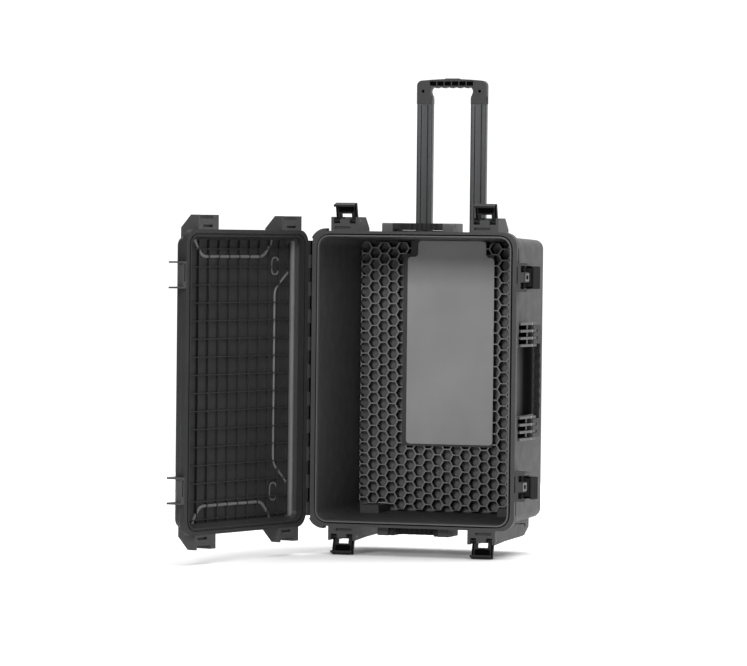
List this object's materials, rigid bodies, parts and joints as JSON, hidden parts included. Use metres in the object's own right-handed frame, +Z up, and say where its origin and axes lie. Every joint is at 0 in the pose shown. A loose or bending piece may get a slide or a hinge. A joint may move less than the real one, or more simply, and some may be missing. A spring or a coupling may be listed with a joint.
{
  "type": "wheeled hard carrying case",
  "caption": "Upright wheeled hard case with a deep ribbed tub, a side-hinged lid, lever latches, folding handles and a telescopic trolley.",
  "frame": {"origin": "on the outer face of the flat cover on the back, at half the height of the case's rim", "axes": "+Z up with the case standing on its short side, -Y towards the opening, +X to the side with the long carry handle; the lid is hinged on the -X side"},
  "size_m": [0.6202, 0.7177, 0.9599],
  "materials": {
    "shell_plastic": "fine-textured injection-moulded polypropylene, charcoal",
    "inner_plastic": "fine-textured moulded polypropylene, near black",
    "latch_plastic": "satin glass-filled nylon, dark grey",
    "handle_plastic": "satin moulded nylon with a soft grip side, black",
    "trolley_plastic": "satin moulded nylon, black",
    "button_plastic": "satin moulded plastic",
    "black_aluminium": "anodised extruded tube, dark grey",
    "steel": "plain bright steel",
    "seal_rubber": "moulded rubber cord, black",
    "wheel_rubber": "solid polyurethane, black"
  },
  "bodies": {
    "base": {"base_shell": "shell_plastic", "base_rim": "shell_plastic", "floor_honeycomb": "inner_plastic", "hinge_pin": "steel", "latch_bosses": "shell_plastic", "latch_pins": "steel", "guide_collar": "trolley_plastic", "trolley_cover": "shell_plastic", "cover_screws": "steel", "handle_brackets_top": "shell_plastic", "handle_brackets_bottom": "shell_plastic", "handle_brackets_side": "shell_plastic", "handle_pins_top": "steel", "handle_pins_bottom": "steel", "handle_pins_side": "steel", "trolley_sleeve_left": "black_aluminium", "trolley_sleeve_right": "black_aluminium", "wheel_housing_left": "shell_plastic", "wheel_housing_right": "shell_plastic", "wheel_axle_left": "steel", "wheel_axle_right": "steel"},
    "lid": {"lid_shell": "shell_plastic", "lid_rim": "shell_plastic", "lid_gasket": "seal_rubber", "lid_rib_grid": "inner_plastic", "lid_keepers": "shell_plastic"},
    "trolley": {"trolley_tube_left": "black_aluminium", "trolley_tube_right": "black_aluminium", "tube_foot_left": "trolley_plastic", "tube_foot_right": "trolley_plastic", "grip_front": "trolley_plastic", "grip_back": "trolley_plastic", "grip_screws": "steel"},
    "release": {"release_button": "button_plastic", "release_linkage": "steel"},
    "roller_left": {"wheel_left": "wheel_rubber"},
    "roller_right": {"wheel_right": "wheel_rubber"},
    "handle_top": {"carry_handle_top": "handle_plastic"},
    "handle_bottom": {"carry_handle_bottom": "handle_plastic"},
    "handle_side": {"carry_handle_side": "handle_plastic"},
    "latch_top_left": {"latch_lever_top_left": "latch_plastic", "trigger_pin_top_left": "steel"},
    "trigger_top_left": {"latch_trigger_top_left": "latch_plastic"},
    "latch_top_right": {"latch_lever_top_right": "latch_plastic", "trigger_pin_top_right": "steel"},
    "trigger_top_right": {"latch_trigger_top_right": "latch_plastic"},
    "latch_bottom_left": {"latch_lever_bottom_left": "latch_plastic", "trigger_pin_bottom_left": "steel"},
    "trigger_bottom_left": {"latch_trigger_bottom_left": "latch_plastic"},
    "latch_bottom_right": {"latch_lever_bottom_right": "latch_plastic", "trigger_pin_bottom_right": "steel"},
    "trigger_bottom_right": {"latch_trigger_bottom_right": "latch_plastic"},
    "latch_side_upper": {"latch_lever_side_upper": "latch_plastic", "trigger_pin_side_upper": "steel"},
    "trigger_side_upper": {"latch_trigger_side_upper": "latch_plastic"},
    "latch_side_lower": {"latch_lever_side_lower": "latch_plastic", "trigger_pin_side_lower": "steel"},
    "trigger_side_lower": {"latch_trigger_side_lower": "latch_plastic"}
  },
  "joints": [
    {"name": "lid_hinge", "type": "hinge", "parent": "base", "child": "lid", "pos_m": [-0.22, -0.28, 0], "axis": [0, 0, -1], "range_deg": [-105, 30]},
    {"name": "trolley_slide", "type": "slide", "parent": "base", "child": "trolley", "axis": [0, 0, 1], "range_m": [-0.29, 0]},
    {"name": "release_press", "type": "slide", "parent": "trolley", "child": "release", "axis": [0, 0, -1], "range_m": [0, 0.003], "stiffness_N_per_m": 1500},
    {"name": "wheel_left_spin", "type": "hinge", "parent": "base", "child": "roller_left", "pos_m": [-0.145, -0.052, -0.296], "axis": [1, 0, 0], "continuous": true},
    {"name": "wheel_right_spin", "type": "hinge", "parent": "base", "child": "roller_right", "pos_m": [0.145, -0.052, -0.296], "axis": [1, 0, 0], "continuous": true},
    {"name": "handle_top_swing", "type": "hinge", "parent": "base", "child": "handle_top", "pos_m": [0, -0.238, 0.305], "axis": [1, 0, 0], "range_deg": [0, 95]},
    {"name": "handle_bottom_swing", "type": "hinge", "parent": "base", "child": "handle_bottom", "pos_m": [-0.003, -0.238, -0.305], "axis": [-1, 0, 0], "range_deg": [0, 95]},
    {"name": "handle_side_swing", "type": "hinge", "parent": "base", "child": "handle_side", "pos_m": [0.219, -0.184, 0], "axis": [0, 0, -1], "range_deg": [0, 95]},
    {"name": "latch_top_left_swing", "type": "hinge", "parent": "base", "child": "latch_top_left", "pos_m": [-0.145, -0.258, 0.315], "axis": [-1, 0, 0], "range_deg": [-75, 15]},
    {"name": "trigger_top_left_press", "type": "hinge", "parent": "latch_top_left", "child": "trigger_top_left", "pos_m": [-0.145, -0.2573, 0.33517], "axis": [1, 0, 0], "range_deg": [0, 6], "stiffness_Nm_per_rad": 0.2},
    {"name": "latch_top_right_swing", "type": "hinge", "parent": "base", "child": "latch_top_right", "pos_m": [0.145, -0.258, 0.315], "axis": [-1, 0, 0], "range_deg": [-75, 15]},
    {"name": "trigger_top_right_press", "type": "hinge", "parent": "latch_top_right", "child": "trigger_top_right", "pos_m": [0.145, -0.2573, 0.33517], "axis": [1, 0, 0], "range_deg": [0, 6], "stiffness_Nm_per_rad": 0.2},
    {"name": "latch_bottom_left_swing", "type": "hinge", "parent": "base", "child": "latch_bottom_left", "pos_m": [-0.145, -0.258, -0.315], "axis": [1, 0, 0], "range_deg": [-75, 15]},
    {"name": "trigger_bottom_left_press", "type": "hinge", "parent": "latch_bottom_left", "child": "trigger_bottom_left", "pos_m": [-0.145, -0.2573, -0.33517], "axis": [-1, 0, 0], "range_deg": [0, 6], "stiffness_Nm_per_rad": 0.2},
    {"name": "latch_bottom_right_swing", "type": "hinge", "parent": "base", "child": "latch_bottom_right", "pos_m": [0.145, -0.258, -0.315], "axis": [1, 0, 0], "range_deg": [-75, 15]},
    {"name": "trigger_bottom_right_press", "type": "hinge", "parent": "latch_bottom_right", "child": "trigger_bottom_right", "pos_m": [0.145, -0.2573, -0.33517], "axis": [-1, 0, 0], "range_deg": [0, 6], "stiffness_Nm_per_rad": 0.2},
    {"name": "latch_side_upper_swing", "type": "hinge", "parent": "base", "child": "latch_side_upper", "pos_m": [0.225, -0.258, 0.207], "axis": [0, 0, 1], "range_deg": [-60, 30]},
    {"name": "trigger_side_upper_press", "type": "hinge", "parent": "latch_side_upper", "child": "trigger_side_upper", "pos_m": [0.24466, -0.26254, 0.207], "axis": [0, 0, -1], "range_deg": [0, 6], "stiffness_Nm_per_rad": 0.2},
    {"name": "latch_side_lower_swing", "type": "hinge", "parent": "base", "child": "latch_side_lower", "pos_m": [0.225, -0.258, -0.207], "axis": [0, 0, 1], "range_deg": [-60, 30]},
    {"name": "trigger_side_lower_press", "type": "hinge", "parent": "latch_side_lower", "child": "trigger_side_lower", "pos_m": [0.24466, -0.26254, -0.207], "axis": [0, 0, -1], "range_deg": [0, 6], "stiffness_Nm_per_rad": 0.2}
  ]
}
